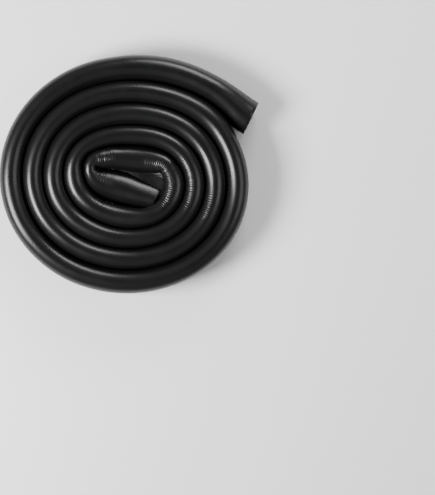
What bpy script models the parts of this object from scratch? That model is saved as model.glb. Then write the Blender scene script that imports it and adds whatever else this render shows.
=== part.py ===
"""Soft black foam tube, two metres of it, wound up flat in an oval coil.

The tube is one extruded piece with a plain bore. Bending and the pressure of the neighbouring turns
squeeze its round section into a tall one with flat sides and half-round top and bottom. The outer end
leaves the coil along +X and springs back to nearly round. The inner end is folded back sharply and lies
across the middle of the coil. Sizes are in metres, +Z is up, and the coil lies on the floor at z = 0.
"""

import math

import bmesh
import bpy
from mathutils import Matrix, Vector

# The tube as it is sold
OUTER_DIAMETER = 0.032
WALL = 0.005
FOLD_SLIT = 0.0006  # what is left of the bore's width where the fold crushes the wall

# The coil from above, round its own middle. Its outer side is a slightly oval spiral that runs inwards.
COIL_RADIUS = 0.1230
TURN_PITCH = 0.02364
PITCH_EASE = 0.00087  # how much the pitch falls off with the square of the turns
COIL_START = math.radians(122.2)
OVAL = 0.0062
OVAL_TILT = math.radians(24.6)
DRIFT = Vector((0.00004, -0.00023))  # how far the middle of each further turn is from the last one's
TURN_GAP = 0.0008

# Where the coil's outer side leaves the plain spiral: the angle, how far out, and over what angle
BULGES = [
    (math.radians(186), -0.0023, math.radians(45)),  # the first turn is drawn in on the far side
    (math.radians(297), 0.0010, math.radians(23)),  # and hangs a little at the near side
    (math.radians(427), 0.0030, math.radians(23)),  # the second turn swells where the outer end leaves it
    (math.radians(540), -0.0016, math.radians(85)),  # and is drawn in behind that
    (math.radians(786), 0.0014, math.radians(34)),
    (math.radians(1212), -0.0018, math.radians(39)),
    (math.radians(1333), -0.0026, math.radians(29)),
    (math.radians(1558), -0.0023, math.radians(45)),  # from here on, the last turn's inner side
    (math.radians(1628), 0.0043, math.radians(18)),  # pushed out by the fold
    (math.radians(1697), -0.0065, math.radians(66)),  # drawn in below the folded end
    (math.radians(1820), -0.0044, math.radians(31)),
]

# The full turns, and how far apart their sections are: further apart in angle as the turns get smaller
TURNS_FROM = math.radians(130)
TURNS_TO = math.radians(1470)
FIRST_STEP = math.radians(9)
STEP_GROWTH = math.radians(1.2)

# Places on the tube's centreline, from the coil's middle, and the width that the tube has there
OUTER_END = [
    (0.0650, 0.1099, 0.0314),
    (0.0540, 0.1100, 0.0304),
    (0.0436, 0.1123, 0.0277),
    (0.0296, 0.1140, 0.0264),
    (0.0133, 0.1137, 0.0257),
    (-0.0019, 0.1116, 0.0255),
    (-0.0163, 0.1081, 0.0255),
    (-0.0300, 0.1033, 0.0252),
    (-0.0433, 0.0970, 0.0246),
    (-0.0556, 0.0894, 0.0237),
]
FOLDED_MIDDLE = [
    (0.0300, 0.0268, 0.0189),
    (0.0264, 0.0285, 0.0182),
    (0.0227, 0.0301, 0.0183),
    (0.0191, 0.0303, 0.0196),
    (0.0144, 0.0292, 0.0219),
    (0.0079, 0.0267, 0.0241),
    (0.0014, 0.0239, 0.0254),
    (-0.0050, 0.0206, 0.0252),
    (-0.0118, 0.0173, 0.0245),
    (-0.0182, 0.0135, 0.0228),
    (-0.0246, 0.0096, 0.0218),
    (-0.0296, 0.0053, 0.0198),
    (-0.0340, 0.0019, 0.0174),
    (-0.0374, -0.0020, 0.0135),
    (-0.0385, -0.0059, 0.0120),
    (-0.0373, -0.0097, 0.0114),
    (-0.0347, -0.0125, 0.0122),
    (-0.0309, -0.0145, 0.0155),
    (-0.0263, -0.0154, 0.0204),
    (-0.0214, -0.0151, 0.0247),
    (-0.0147, -0.0137, 0.0288),
    (-0.0082, -0.0120, 0.0305),
    (-0.0017, -0.0100, 0.0305),
    (0.0045, -0.0084, 0.0288),
    (0.0107, -0.0072, 0.0264),
    (0.0169, -0.0056, 0.0236),
    (0.0225, -0.0039, 0.0202),
    (0.0297, -0.0003, 0.0159),
]

# Both ends were cut by hand and are off square.
OUTER_CUT_SKEW = math.radians(6)
INNER_CUT_SKEW = math.radians(-22)

SIDES = 16  # corners round the skin and round the bore


def coil_edge(angle):
    """Distance from the coil's middle to its outer side, at an angle that goes on growing inwards."""
    turns = (angle - COIL_START) / (2 * math.pi)
    oval = OVAL * math.cos(2 * (angle - OVAL_TILT))
    bulge = sum(size * math.exp(-(((angle - at) / spread) ** 2)) for at, size, spread in BULGES)
    drift = turns * DRIFT.dot((math.cos(angle), math.sin(angle)))
    return COIL_RADIUS - TURN_PITCH * turns + PITCH_EASE * turns**2 + oval + bulge + drift


def centre_radius(angle):
    """Distance from the coil's middle to the tube's centreline, halfway between two turns' outer sides."""
    return (coil_edge(angle) + coil_edge(angle + 2 * math.pi)) / 2


def full_turns():
    """Place and width at each section of the full turns. The width is taken square to the tube."""
    stations = []
    angle = TURNS_FROM
    while angle < TURNS_TO:
        radius = centre_radius(angle)
        nudge = 0.01
        slope = (centre_radius(angle + nudge) - centre_radius(angle - nudge)) / (2 * nudge)
        pitch = coil_edge(angle) - coil_edge(angle + 2 * math.pi)
        width = pitch * radius / math.hypot(radius, slope) - TURN_GAP
        stations.append((radius * math.cos(angle), radius * math.sin(angle), width))
        angle += FIRST_STEP + STEP_GROWTH * (angle - TURNS_FROM) / (2 * math.pi)
    return stations


def across_tube(stations):
    """The level direction across the tube at each station, and along the cuts at the two ends."""
    points = [Vector((x, y, 0)) for x, y, _ in stations]
    directions = []
    for before, after in zip(points[:1] + points[:-1], points[1:] + points[-1:]):
        along = (after - before).normalized()
        directions.append(Vector((along.y, -along.x, 0)))
    directions[0].rotate(Matrix.Rotation(OUTER_CUT_SKEW, 3, "Z"))
    directions[-1].rotate(Matrix.Rotation(INNER_CUT_SKEW, 3, "Z"))
    return directions


def squeezed(width):
    """Height and wall where the tube is squeezed to this width. The wall's middle line isn't stretched."""
    wall = min(WALL, (width - FOLD_SLIT) / 2)
    middle_width = width - wall
    middle_height = middle_width + math.pi / 2 * (OUTER_DIAMETER - WALL - middle_width)
    return middle_height + wall, wall


def section(centre, across, width, height, bottom):
    """Points round a section with flat sides and half-round ends. Its lowest side is level."""
    radius = width / 2 / math.cos(math.pi / SIDES)
    straight = (height - width) / 2
    points = []
    for corner in range(SIDES):
        turn = (corner + 0.5) * 2 * math.pi / SIDES
        up = bottom + height / 2 + radius * math.sin(turn) + math.copysign(straight, math.sin(turn))
        points.append(centre + across * radius * math.cos(turn) + Vector((0, 0, up)))
    return points


def follower(corner, fresh):
    """The fresh corner that an extrusion drew out of this one."""
    return next(edge.other_vert(corner) for edge in corner.link_edges if edge.other_vert(corner) in fresh)


def loft(mesh, rings):
    """Extrudes one loop of edges from each ring to the next, and joins the last ring to the first."""
    loop = bmesh.ops.create_circle(mesh, segments=SIDES)["verts"]
    edges = mesh.edges[:]
    for corner, point in zip(loop, rings[0]):
        corner.co = point
    for ring in rings[1:] + rings[:1]:
        grown = bmesh.ops.extrude_edge_only(mesh, edges=edges)["geom"]
        fresh = {item for item in grown if isinstance(item, bmesh.types.BMVert)}
        loop = [follower(corner, fresh) for corner in loop]
        edges = [mesh.edges.get(pair) for pair in zip(loop, loop[1:] + loop[:1])]
        for corner, point in zip(loop, ring):
            corner.co = point
    bmesh.ops.remove_doubles(mesh, verts=mesh.verts, dist=0.00001)
    bmesh.ops.recalc_face_normals(mesh, faces=mesh.faces)


def foam_tube():
    """The tube as one loft: along the skin to the inner end, across its cut face and back along the bore."""
    stations = OUTER_END + full_turns() + FOLDED_MIDDLE
    skin_rings = []
    bore_rings = []
    for (x, y, width), across in zip(stations, across_tube(stations)):
        centre = Vector((x, y, 0))
        height, wall = squeezed(width)
        skin_rings.append(section(centre, across, width, height, 0))
        bore_rings.append(section(centre, across, width - 2 * wall, height - 2 * wall, wall))
    mesh = bmesh.new()
    loft(mesh, skin_rings + bore_rings[::-1])

    # The part's origin is on the floor under the middle of its box.
    xs = [corner.co.x for corner in mesh.verts]
    ys = [corner.co.y for corner in mesh.verts]
    box_middle = Vector(((min(xs) + max(xs)) / 2, (min(ys) + max(ys)) / 2, 0))
    bmesh.ops.translate(mesh, verts=mesh.verts, vec=-box_middle)

    data = bpy.data.meshes.new("foam_tube")
    mesh.to_mesh(data)
    mesh.free()
    data.shade_smooth()
    data.set_sharp_from_angle(angle=math.radians(50))
    return bpy.data.objects.new("foam_tube", data)


def black_foam():
    """Closed-cell rubber foam, nearly black, with a satin skin from the extrusion."""
    material = bpy.data.materials.new("black_foam")
    material.use_nodes = True
    shader = material.node_tree.nodes["Principled BSDF"]
    shader.inputs["Base Color"].default_value = (0.018, 0.018, 0.019, 1)
    shader.inputs["Roughness"].default_value = 0.45
    shader.inputs["Metallic"].default_value = 0
    return material


def main():
    for old in list(bpy.data.objects):
        bpy.data.objects.remove(old)
    collection = bpy.data.collections.new("foam_tube_coil")
    bpy.context.scene.collection.children.link(collection)
    tube = foam_tube()
    tube.data.materials.append(black_foam())
    collection.objects.link(tube)


main()
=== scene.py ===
import math
import random

import bmesh
import bpy
import numpy as np
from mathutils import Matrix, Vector


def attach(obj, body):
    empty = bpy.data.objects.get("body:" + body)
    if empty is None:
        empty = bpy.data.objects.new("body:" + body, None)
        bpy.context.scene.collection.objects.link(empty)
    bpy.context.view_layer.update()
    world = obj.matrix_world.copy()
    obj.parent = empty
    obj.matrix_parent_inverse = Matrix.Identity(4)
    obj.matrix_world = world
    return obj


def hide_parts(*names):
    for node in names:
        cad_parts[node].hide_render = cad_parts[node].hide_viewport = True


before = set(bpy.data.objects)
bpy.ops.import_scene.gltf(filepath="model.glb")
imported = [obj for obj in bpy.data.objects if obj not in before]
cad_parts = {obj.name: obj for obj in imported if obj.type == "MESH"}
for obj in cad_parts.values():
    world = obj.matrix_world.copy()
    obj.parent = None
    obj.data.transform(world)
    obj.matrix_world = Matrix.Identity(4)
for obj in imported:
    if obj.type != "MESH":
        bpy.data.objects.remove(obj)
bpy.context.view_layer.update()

# The run of the tube
# Two metres of extruded rubber foam, wound by hand into a flat oval coil. The outer end lies free along +X,
# and the inner end is folded back on itself and lies across the middle of the coil.
OUTER_DIAMETER = 0.032
WALL = 0.005

# The coil's outer side is a slightly oval spiral that runs inwards. It is measured from the coil's middle.
COIL_MIDDLE = Vector((0.00456, -0.00873, 0))
COIL_RADIUS = 0.1230
TURN_PITCH = 0.02364
PITCH_EASE = 0.00087  # how much the pitch falls off with the square of the turns
COIL_START = math.radians(122.2)
OVAL = 0.0062
OVAL_TILT = math.radians(24.6)
DRIFT = (0.00004, -0.00023)  # how far the middle of each further turn is from the last one's
TURN_GAP = 0.0005

# Where the outer side leaves the plain spiral: the angle, how far out, and over what angle
BULGES = [
    (math.radians(186), -0.0023, math.radians(45)),  # the first turn is drawn in on the far side
    (math.radians(268), 0.0009, math.radians(20)),  # and hangs a little at the near side
    (math.radians(297), 0.0010, math.radians(23)),
    (math.radians(411), -0.0010, math.radians(9)),  # the second turn stands back beside the outer end,
    (math.radians(427), 0.0030, math.radians(23)),  # swells where the outer end leaves it
    (math.radians(540), -0.0016, math.radians(85)),  # and is drawn in behind that
    (math.radians(786), 0.0014, math.radians(34)),
    (math.radians(1212), -0.0018, math.radians(39)),
    (math.radians(1333), -0.0026, math.radians(29)),
    (math.radians(1558), -0.0023, math.radians(45)),  # from here on, the last turn's inner side
    (math.radians(1628), 0.0043, math.radians(18)),  # pushed out by the fold
    (math.radians(1697), -0.0065, math.radians(66)),  # drawn in below the folded end
    (math.radians(1820), -0.0044, math.radians(31)),
]

# The full turns, and how far apart their stations are: further apart in angle as the turns get smaller
TURNS_FROM = math.radians(130)
TURNS_TO = math.radians(1470)
FIRST_STEP = math.radians(9)
STEP_GROWTH = math.radians(1.2)

# Stations on the tube's centreline, before and after the full turns: place, and the tube's width there
OUTER_END = [
    (0.0658, 0.1095, 0.0330),
    (0.0550, 0.1100, 0.0321),
    (0.0459, 0.1117, 0.0297),
    (0.0368, 0.1131, 0.0275),
    (0.0250, 0.1138, 0.0260),
    (0.0109, 0.1131, 0.0254),
    (-0.0031, 0.1111, 0.0255),
    (-0.0163, 0.1079, 0.0255),
    (-0.0292, 0.1034, 0.0253),
    (-0.0417, 0.0976, 0.0246),
    (-0.0556, 0.0894, 0.0237),
]
FOLDED_MIDDLE = [
    (0.0300, 0.0268, 0.0189),
    (0.0264, 0.0285, 0.0182),
    (0.0227, 0.0301, 0.0183),
    (0.0191, 0.0303, 0.0196),
    (0.0144, 0.0292, 0.0219),
    (0.0079, 0.0267, 0.0241),
    (0.0014, 0.0239, 0.0254),
    (-0.0050, 0.0206, 0.0252),
    (-0.0118, 0.0173, 0.0245),
    (-0.0182, 0.0135, 0.0228),
    (-0.0246, 0.0096, 0.0218),
    (-0.0296, 0.0053, 0.0198),
    (-0.0340, 0.0019, 0.0174),
    (-0.0374, -0.0020, 0.0135),
    (-0.0385, -0.0059, 0.0120),
    (-0.0373, -0.0097, 0.0114),
    (-0.0347, -0.0125, 0.0122),
    (-0.0309, -0.0145, 0.0155),
    (-0.0263, -0.0154, 0.0204),
    (-0.0214, -0.0151, 0.0247),
    (-0.0147, -0.0137, 0.0288),
    (-0.0082, -0.0120, 0.0305),
    (-0.0017, -0.0100, 0.0305),
    (0.0045, -0.0084, 0.0288),
    (0.0107, -0.0072, 0.0267),
    (0.0168, -0.0055, 0.0247),
    (0.0225, -0.0039, 0.0228),
    (0.0306, -0.0018, 0.0196),
]


def coil_edge(angle):
    """Distance from the coil's middle to its outer side, at an angle that goes on growing inwards."""
    turns = (angle - COIL_START) / (2 * math.pi)
    oval = OVAL * math.cos(2 * (angle - OVAL_TILT))
    bulge = sum(size * math.exp(-(((angle - at) / spread) ** 2)) for at, size, spread in BULGES)
    drift = turns * (DRIFT[0] * math.cos(angle) + DRIFT[1] * math.sin(angle))
    return COIL_RADIUS - TURN_PITCH * turns + PITCH_EASE * turns**2 + oval + bulge + drift


def centre_radius(angle):
    """Distance from the coil's middle to the tube's centreline, halfway between two turns' outer sides."""
    return (coil_edge(angle) + coil_edge(angle + 2 * math.pi)) / 2


def full_turns():
    """Place and width along the full turns. The width is taken square to the tube."""
    stations = []
    angle = TURNS_FROM
    while angle < TURNS_TO:
        radius = centre_radius(angle)
        nudge = 0.01
        slope = (centre_radius(angle + nudge) - centre_radius(angle - nudge)) / (2 * nudge)
        pitch = coil_edge(angle) - coil_edge(angle + 2 * math.pi)
        width = pitch * radius / math.hypot(radius, slope) - TURN_GAP
        stations.append((radius * math.cos(angle), radius * math.sin(angle), width))
        angle += FIRST_STEP + STEP_GROWTH * (angle - TURNS_FROM) / (2 * math.pi)
    return stations


# The curve leans at each station as the steps before and after it do, and the shorter step counts for more.
stations = np.array(OUTER_END + full_turns() + FOLDED_MIDDLE)
chords = np.linalg.norm(np.diff(stations[:, :2], axis=0), axis=1)
knots = np.concatenate([[0], np.cumsum(chords)])
tube_length = float(knots[-1])
steps = np.diff(stations, axis=0) / chords[:, None]
weighted = steps[:-1] * chords[1:, None] + steps[1:] * chords[:-1, None]
leans = np.vstack([steps[:1], weighted / (chords[:-1] + chords[1:])[:, None], steps[-1:]])


def along_tube(distance):
    """Place and width at these distances from the outer cut, on one smooth curve through the stations."""
    distance = np.clip(distance, 0, tube_length)
    last = np.clip(np.searchsorted(knots, distance, side="right") - 1, 0, len(chords) - 1)
    span = chords[last][:, None]
    done = ((distance - knots[last]) / chords[last])[:, None]
    to_go = 1 - done
    from_last = (1 + 2 * done) * to_go**2 * stations[last] + done * to_go**2 * span * leans[last]
    to_next = done**2 * (3 - 2 * done) * stations[last + 1] - done**2 * to_go * span * leans[last + 1]
    return from_last + to_next


# The creases
# Where the tube bends sharply, the soft skin on the inside of the bend buckles into fine creases, about two
# millimetres apart. Each runs up and down from the tube's inner side, and they differ in depth.
STRETCH_FADE = 0.6  # the power of the sine that makes the first and last creases of a stretch shallow
CREASE_FADE = 0.6  # the angle round the tube over which a crease runs out
PLAIN_STEP = 0.0036  # how far apart the rings are where there are no creases

# Chance gives each crease its pitch, and its share of the depth and the reach of its stretch.
CREASE_PITCH = (0.0017, 0.0027)
DEPTH_SHARE = (0.35, 1.0)
REACH_SHARE = (0.85, 1.08)

# Each stretch: from and to along the tube, how deep, and how far up it reaches, where 1 is the tube's top
CREASED = [
    (1.100, 1.137, 0.00032, 0.98),
    (1.520, 1.584, 0.00034, 0.98),
    (1.692, 1.730, 0.00016, 0.86),
    (1.741, 1.762, 0.00024, 0.90),
    (1.806, 1.886, 0.00068, 1.06),
    (1.910, 1.934, 0.00058, 1.20),
    (1.943, 1.962, 0.00058, 1.05),
]

# From the bottom of one crease to the next: the part of the pitch, and the share of the depth there.
# Halfway, the skin swells out a little.
CREASE_PROFILE = [(0, 1), (0.22, 0.25), (0.5, -0.35), (0.78, 0.25)]
chance = random.Random(7)


def rings_along_skin():
    """Distance, crease depth and crease reach for the rings of the skin, up to the inner cut."""
    rings = []
    distance = 0.0
    for start, end, depth, reach in CREASED + [(tube_length, tube_length, 0, 0)]:
        count = max(1, round((start - distance) / PLAIN_STEP))
        rings += [(distance + (start - distance) * ring / count, 0, 1) for ring in range(count)]
        distance = start
        while distance < end:
            pitch = chance.uniform(*CREASE_PITCH)
            fade = math.sin(math.pi * (distance - start) / (end - start)) ** STRETCH_FADE
            deep = depth * fade * chance.uniform(*DEPTH_SHARE)
            far = reach * chance.uniform(*REACH_SHARE)
            rings += [(distance + part * pitch, deep * share, far) for part, share in CREASE_PROFILE]
            distance += pitch
    return rings


# The tube
# One body: the skin, the two cut faces and the bore. It starts as a flat grid, a row of points for each
# ring, which is rolled up round the run: out along the skin, across the inner cut and back in the bore.
SIDES = 48
CUT_ROWS = 5
BORE_STEP = 0.007
RIM_ROUNDING = 0.0003
RIM_MIDDLE = 0.3 * RIM_ROUNDING  # how far the middle of the rounding is from the cut, and from the skin

# Both ends were cut by hand and are off square.
OUTER_CUT_SKEW = math.radians(8.5)
INNER_CUT_SKEW = math.radians(-9)
SKEW_REACH = 0.016  # how far from the cut the tube starts to turn to it
HEADING_STEP = 0.0005  # how far ahead and behind the tube's heading is taken

# The foam is too stiff for its height to follow each change of width at once.
HEIGHT_SPREAD = (-0.016, -0.008, 0, 0.008, 0.016)

# Bending presses the inner side of the big turns together, so their tops are less full on that side.
# A fullness of 2 is a half circle.
FULLNESS_AT = (0.0, 0.05, 1.1, 1.5)
FULLNESS = (2.0, 1.72, 1.78, 2.0)

# The folded end lies slack. Its top is no longer round but sinks on one side to a flat slope.
SLACK_FROM = 1.965
SLACK_OVER = 0.02  # the length that it takes to sink to the slack height
SLACK_HEIGHT = 0.0335
SLOPE_FROM = 1.952
SLOPE = 0.49
SLOPE_SOFTNESS = 0.2  # how gently the slope starts from the top
SLOPE_FULLNESS = 8  # how sharply it ends at the side

# The angles round a ring: from the outer side over the top to the inner side, and back along the floor
turn = (np.arange(SIDES + 1) + 0.5) * 2 * math.pi / SIDES
turn[-1] = turn[0]


def across_tube(distance):
    """The level direction across the tube. Near its ends it turns to the skew of the cuts."""
    ahead = along_tube(distance + HEADING_STEP)
    behind = along_tube(distance - HEADING_STEP)
    heading = np.arctan2(ahead[:, 1] - behind[:, 1], ahead[:, 0] - behind[:, 0])
    near_outer = np.clip(1 - distance / SKEW_REACH, 0, 1) ** 2
    near_inner = np.clip(1 - (tube_length - distance) / SKEW_REACH, 0, 1) ** 2
    heading = heading + OUTER_CUT_SKEW * near_outer + INNER_CUT_SKEW * near_inner
    return np.stack([np.sin(heading), -np.cos(heading)], axis=1)


def height_of_tube(distance):
    """The height that squeezing gives, if the middle of the wall keeps its length round the tube."""
    nearby = [along_tube(distance + shift)[:, 2] for shift in HEIGHT_SPREAD]
    width = sum(nearby) / len(nearby)
    height = width + math.pi / 2 * (OUTER_DIAMETER - width)
    slack = np.clip((distance - SLACK_FROM) / SLACK_OVER, 0, 1)
    return height + slack * (np.minimum(height, SLACK_HEIGHT) - height)


def rise_round_ring(distance):
    """How far up each point lies in its half round, in radii. All is round but the top's inner side."""
    inward = np.where((np.sin(turn) > 0) & (np.cos(turn) < 0), -np.cos(turn), 0)
    fullness = np.interp(distance, FULLNESS_AT, FULLNESS)[:, None]
    pressed = (1 - inward**fullness) ** (1 / fullness)
    slope = 1 - SLOPE * (np.sqrt(inward**2 + SLOPE_SOFTNESS**2) - SLOPE_SOFTNESS)
    sloped = slope * (1 - inward**SLOPE_FULLNESS) ** (1 / SLOPE_FULLNESS)
    sunk = np.clip((distance - SLOPE_FROM) / (tube_length - SLOPE_FROM), 0, 1)[:, None]
    return np.where(inward > 0, pressed + sunk * (sloped - pressed), np.sin(turn))


def crease_round_ring(depth, reach):
    """How deep the creases are at each point of their rings. The inner side is at half a turn."""
    from_inner_side = np.abs(turn - math.pi)
    fade = np.clip((reach[:, None] * math.pi / 2 - from_inner_side) / CREASE_FADE + 0.5, 0, 1)
    return depth[:, None] * fade * fade * (3 - 2 * fade)


def ring_points(distance, inset, crease_depth, crease_reach):
    """Points of the rings at these distances from the outer cut, as far in from the skin as the inset."""
    place = along_tube(distance)
    across = across_tube(distance)
    height = height_of_tube(distance)[:, None]
    width = place[:, 2][:, None]
    radius = width / 2 - inset[:, None] - crease_round_ring(crease_depth, crease_reach)
    out = radius * np.cos(turn)
    up = height / 2 + radius * rise_round_ring(distance) + (height - width) / 2 * np.sign(np.sin(turn))
    points = np.empty(out.shape + (3,))
    points[:, :, 0] = COIL_MIDDLE.x + place[:, None, 0] + across[:, None, 0] * out
    points[:, :, 1] = COIL_MIDDLE.y + place[:, None, 1] + across[:, None, 1] * out
    points[:, :, 2] = np.maximum(up, 0)
    return points


# Each ring: distance along the tube, how far in from the skin, crease depth and crease reach
rim = [(0.0, RIM_ROUNDING), (RIM_MIDDLE, RIM_MIDDLE), (RIM_ROUNDING, 0.0)]
cut_insets = np.linspace(RIM_ROUNDING, WALL, CUT_ROWS + 1)[1:-1]
bore_places = np.linspace(tube_length, 0, round(tube_length / BORE_STEP))
rings = [(place, inset, 0, 0) for place, inset in rim]
rings += [(place, 0, depth, reach) for place, depth, reach in rings_along_skin()[1:]]
rings += [(tube_length - place, inset, 0, 0) for place, inset in rim[::-1]]
first_cut_row = len(rings) - 1
rings += [(tube_length, inset, 0, 0) for inset in cut_insets]
first_bore_row = len(rings)
rings += [(place, WALL, 0, 0) for place in bore_places]
last_bore_row = len(rings) - 1
rings += [(0.0, inset, 0, 0) for inset in cut_insets[::-1]] + rings[:1]
row_places = [ring[0] for ring in rings]
rows = ring_points(*np.array(rings).T)

mesh = bmesh.new()
along_and_round = mesh.loops.layers.uv.new("along_and_round")
bmesh.ops.create_grid(mesh, x_segments=SIDES, y_segments=len(rows) - 1, size=1)
columns = SIDES + 1
SKIN_SLOT, CUT_SLOT, BORE_SLOT = 0, 1, 2
for corner in mesh.verts:
    corner.co = rows[divmod(corner.index, columns)]
for face in mesh.faces:
    for loop in face.loops:
        row, column = divmod(loop.vert.index, columns)
        loop[along_and_round].uv = (row_places[row], column * math.pi * OUTER_DIAMETER / SIDES)
    first_row = min(corner.index // columns for corner in face.verts)
    if first_row < first_cut_row:
        face.material_index = SKIN_SLOT
    elif first_bore_row <= first_row < last_bore_row:
        face.material_index = BORE_SLOT
    else:
        face.material_index = CUT_SLOT
    face.smooth = True
bmesh.ops.remove_doubles(mesh, verts=mesh.verts, dist=0.000001)
bmesh.ops.recalc_face_normals(mesh, faces=mesh.faces)
tube_mesh = bpy.data.meshes.new("foam_tube_coil")
mesh.to_mesh(tube_mesh)
mesh.free()
tube = bpy.data.objects.new("foam_tube_coil", tube_mesh)
bpy.context.scene.collection.objects.link(tube)

# The finish
# The skin is satin and almost smooth, with a faint grain and faint streaks drawn along it by the extrusion.
# The bore has the same surface, blacker and less glossy. The cut faces show the foam's cells, cut open.
FOAM_IOR = 1.4
SKIN_BLACK = (0.0050, 0.0050, 0.0053, 1)
SKIN_ROUGHNESS = 0.29
BORE_BLACK = (0.0025, 0.0025, 0.0026, 1)
BORE_ROUGHNESS = 0.5
GRAINS_PER_METRE = 1100.0
STREAKS_PER_METRE = (9.0, 420.0, 1.0)  # along the tube and round it
CLOUDS_PER_METRE = 55.0
CLOUD_ROUGHNESS = (-0.025, 0.035)  # what the clouds take off the roughness or add to it


def add_node(tree, kind, inputs, **settings):
    """A shader node with its settings. An input takes a value or a link from another node's output."""
    made = tree.nodes.new("ShaderNode" + kind)
    for name, value in settings.items():
        setattr(made, name, value)
    for name, source in inputs.items():
        if isinstance(source, bpy.types.NodeSocket):
            tree.links.new(source, made.inputs[name])
        else:
            made.inputs[name].default_value = source
    return made


def add_noise(tree, place, scale, detail):
    """Soft noise from 0 to 1."""
    return add_node(tree, "TexNoise", {"Vector": place, "Scale": scale, "Detail": detail}).outputs["Fac"]


def add_range(tree, value, given, wanted):
    """The value, taken from the given range to the wanted one and kept within it."""
    ends = {"From Min": given[0], "From Max": given[1], "To Min": wanted[0], "To Max": wanted[1]}
    return add_node(tree, "MapRange", {"Value": value} | ends).outputs["Result"]


extruded = bpy.data.node_groups.new("extruded_surface", "ShaderNodeTree")
extruded.interface.new_socket("Roughness", in_out="INPUT", socket_type="NodeSocketFloat")
extruded.interface.new_socket("Roughness", in_out="OUTPUT", socket_type="NodeSocketFloat")
extruded.interface.new_socket("Normal", in_out="OUTPUT", socket_type="NodeSocketVector")
own_roughness = extruded.nodes.new("NodeGroupInput").outputs["Roughness"]
result = extruded.nodes.new("NodeGroupOutput")
solid_place = add_node(extruded, "TexCoord", {}).outputs["Object"]
surface_place = add_node(extruded, "UVMap", {}, uv_map="along_and_round").outputs["UV"]
drawn_out = add_node(extruded, "Mapping", {"Vector": surface_place, "Scale": STREAKS_PER_METRE})
grain = add_noise(extruded, solid_place, GRAINS_PER_METRE, 3.0)
streaks = add_noise(extruded, drawn_out.outputs["Vector"], 1.0, 3.0)
clouds = add_noise(extruded, solid_place, CLOUDS_PER_METRE, 2.0)
uneven = add_range(extruded, clouds, (0.3, 0.7), CLOUD_ROUGHNESS)
rough = add_node(extruded, "Math", {0: own_roughness, 1: uneven}, operation="ADD")
streak_bump = {"Strength": 0.35, "Distance": 0.00025, "Height": streaks}
streaked = add_node(extruded, "Bump", streak_bump).outputs["Normal"]
grain_bump = {"Strength": 0.3, "Distance": 0.0001, "Height": grain, "Normal": streaked}
grained = add_node(extruded, "Bump", grain_bump).outputs["Normal"]
extruded.links.new(rough.outputs["Value"], result.inputs["Roughness"])
extruded.links.new(grained, result.inputs["Normal"])


def extruded_finish(name, base, roughness):
    """Foam as the extrusion leaves it, with its own black and gloss."""
    finish = bpy.data.materials.new(name)
    finish.use_nodes = True
    tree = finish.node_tree
    surface = add_node(tree, "Group", {}, node_tree=extruded)
    surface.inputs["Roughness"].default_value = roughness
    shader = tree.nodes["Principled BSDF"]
    shader.inputs["Base Color"].default_value = base
    shader.inputs["IOR"].default_value = FOAM_IOR
    tree.links.new(surface.outputs["Roughness"], shader.inputs["Roughness"])
    tree.links.new(surface.outputs["Normal"], shader.inputs["Normal"])
    return finish


CUT_ROUGHNESS = 0.75
CELLS_PER_METRE = 2600.0
CELL_SHADE_AND_WALL_GREYS = (0.006, 0.05)  # in the middle of a cell, as painted shade for its hollow, and on its walls, their own grey
PATCHES_PER_METRE = 420.0
PATCH_SHARES = (0.6, 1.3)
SPARKLING = (0.93, 0.95)  # the cells whose chance is above this get a painted glint: paler colour in place of caught light
PAINTED_GLINT_GREY = 0.35


def cut_finish():
    """Dark cells with paler walls, in darker and paler patches. The dark in each cell's middle is painted
    shade for its hollow, and a few cells are given a painted glint.
    """
    finish = bpy.data.materials.new("cut_foam_cells")
    finish.use_nodes = True
    tree = finish.node_tree
    place = add_node(tree, "TexCoord", {}).outputs["Object"]
    cells = add_node(tree, "TexVoronoi", {"Vector": place, "Scale": CELLS_PER_METRE})
    # Each cell's middle is darkened as painted shade for its hollow. The paler walls are the cut foam's own
    # grey.
    walls = add_range(tree, cells.outputs["Distance"], (0.15, 0.75), CELL_SHADE_AND_WALL_GREYS)
    patches = add_range(tree, add_noise(tree, place, PATCHES_PER_METRE, 2.0), (0.35, 0.65), PATCH_SHARES)
    grey = add_node(tree, "Math", {0: walls, 1: patches}, operation="MULTIPLY").outputs["Value"]
    cell_chance = add_node(tree, "SeparateColor", {"Color": cells.outputs["Color"]}).outputs["Red"]
    # A painted glint: a few cells are made paler in their colour, standing in for light caught on them.
    painted_glint = add_range(tree, cell_chance, SPARKLING, (0.0, PAINTED_GLINT_GREY))
    cut_grey_with_painted_light = add_node(tree, "Math", {0: grey, 1: painted_glint}, operation="ADD").outputs["Value"]
    colour = add_node(tree, "CombineColor", {"Red": cut_grey_with_painted_light, "Green": cut_grey_with_painted_light, "Blue": cut_grey_with_painted_light})
    pit_bump = {"Strength": 0.9, "Distance": 0.0003, "Height": cells.outputs["Distance"]}
    pits = add_node(tree, "Bump", pit_bump)
    shader = tree.nodes["Principled BSDF"]
    shader.inputs["Roughness"].default_value = CUT_ROUGHNESS
    shader.inputs["IOR"].default_value = FOAM_IOR
    tree.links.new(colour.outputs["Color"], shader.inputs["Base Color"])
    tree.links.new(pits.outputs["Normal"], shader.inputs["Normal"])
    return finish


skin_finish = extruded_finish("black_foam_skin", SKIN_BLACK, SKIN_ROUGHNESS)
bore_finish = extruded_finish("bore_skin", BORE_BLACK, BORE_ROUGHNESS)
for finish in (skin_finish, cut_finish(), bore_finish):
    tube_mesh.materials.append(finish)

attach(tube, "root")
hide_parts("foam_tube")

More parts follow.
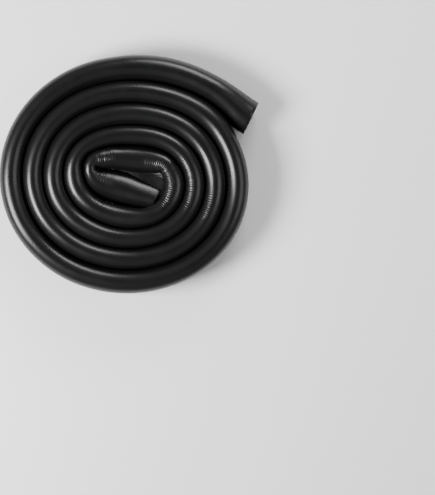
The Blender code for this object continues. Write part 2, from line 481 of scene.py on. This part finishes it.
# The floor
# A wide sheet of pale matt paper. It lies a hair below the tube's underside, so that the two don't meet.
FLOOR_HALF_WIDTH = 6
FLOOR_DROP = 0.0002
PAPER_GREY = (0.9, 0.9, 0.9, 1)
PAPER_ROUGHNESS = 0.9
floor_mesh = bpy.data.meshes.new("floor")
grid = bmesh.new()
bmesh.ops.create_grid(grid, x_segments=1, y_segments=1, size=FLOOR_HALF_WIDTH)
bmesh.ops.translate(grid, verts=grid.verts, vec=(0, 0, -FLOOR_DROP))
grid.to_mesh(floor_mesh)
grid.free()
floor = bpy.data.objects.new("floor", floor_mesh)
bpy.context.scene.collection.objects.link(floor)
floor_finish = bpy.data.materials.new("floor_paper")
floor_finish.use_nodes = True
paper = floor_finish.node_tree.nodes["Principled BSDF"]
paper.inputs["Base Color"].default_value = PAPER_GREY
paper.inputs["Roughness"].default_value = PAPER_ROUGHNESS
floor_mesh.materials.append(floor_finish)

# The lights
# Three softboxes stand round the coil, where the highlights on its skin need them. The room is evenly
# bright, but for the dark camera rig straight overhead.
SCREEN_TURN = math.radians(32.2)  # from the photo's right to +X, clockwise
LIGHT_DISTANCE = 1.2
ROOM_BRIGHTNESS = 0.34
RIG_BRIGHTNESS = 0.04
RIG_EDGE = (0.86, 0.94)  # sines of the elevation where the rig starts and where it is darkest


def screen_direction(azimuth, elevation=0.0):
    """A direction as it looks in the photo: azimuth anticlockwise from the right, and elevation."""
    flat = math.radians(azimuth) + SCREEN_TURN
    rise = math.radians(elevation)
    return Vector((math.cos(flat) * math.cos(rise), math.sin(flat) * math.cos(rise), math.sin(rise)))


def softbox(name, azimuth, elevation, width, height, radiance):
    """A rectangular studio light that faces the coil's middle. Radiance is its brightness as seen."""
    light = bpy.data.lights.new(name, "AREA")
    light.shape = "RECTANGLE"
    light.size = width
    light.size_y = height
    light.energy = radiance * math.pi * width * height
    lamp = bpy.data.objects.new(name, light)
    toward = screen_direction(azimuth, elevation)
    lamp.location = COIL_MIDDLE + toward * LIGHT_DISTANCE
    lamp.rotation_euler = toward.to_track_quat("Z", "Y").to_euler()
    lamp.visible_camera = False
    bpy.context.scene.collection.objects.link(lamp)


softbox("key_softbox", azimuth=196, elevation=42, width=0.50, height=0.46, radiance=51.0)
softbox("second_softbox", azimuth=68, elevation=28, width=0.6, height=0.40, radiance=13.5)
softbox("fill_softbox", azimuth=0, elevation=44, width=0.6, height=0.6, radiance=3.0)

world = bpy.data.worlds.new("studio")
world.use_nodes = True
room = world.node_tree
direction = add_node(room, "TexCoord", {}).outputs["Generated"]
elevation_sine = add_node(room, "SeparateXYZ", {"Vector": direction}).outputs["Z"]
brightness = add_range(room, elevation_sine, RIG_EDGE, (ROOM_BRIGHTNESS, RIG_BRIGHTNESS))
room.nodes["Background"].inputs["Color"].default_value = (1, 1, 1, 1)
room.links.new(brightness, room.nodes["Background"].inputs["Strength"])
bpy.context.scene.world = world

# The camera
# It looks straight down from far off, turned so that the coil lies as it does in the photo. A pixel is
# METRES_PER_PIXEL wide at OUTLINE_HEIGHT, where the coil's outline was measured.
METRES_PER_PIXEL = 0.000935
OUTLINE_HEIGHT = 0.027
COIL_PIXEL = (129.25, 180.0)  # the coil's middle in the photo, from the top left
PHOTO_SIZE = (435, 495)
LENS = 300
SENSOR = 36
camera_data = bpy.data.cameras.new("camera")
camera_data.lens = LENS
camera_data.sensor_width = SENSOR
camera = bpy.data.objects.new("camera", camera_data)
offset_right = (PHOTO_SIZE[0] / 2 - COIL_PIXEL[0]) * METRES_PER_PIXEL
offset_up = (COIL_PIXEL[1] - PHOTO_SIZE[1] / 2) * METRES_PER_PIXEL
camera_distance = LENS / SENSOR * PHOTO_SIZE[1] * METRES_PER_PIXEL
aim = COIL_MIDDLE + screen_direction(0) * offset_right + screen_direction(90) * offset_up
camera.location = aim + Vector((0, 0, OUTLINE_HEIGHT + camera_distance))
camera.rotation_euler = (0, 0, SCREEN_TURN)
bpy.context.scene.collection.objects.link(camera)
bpy.context.scene.camera = camera
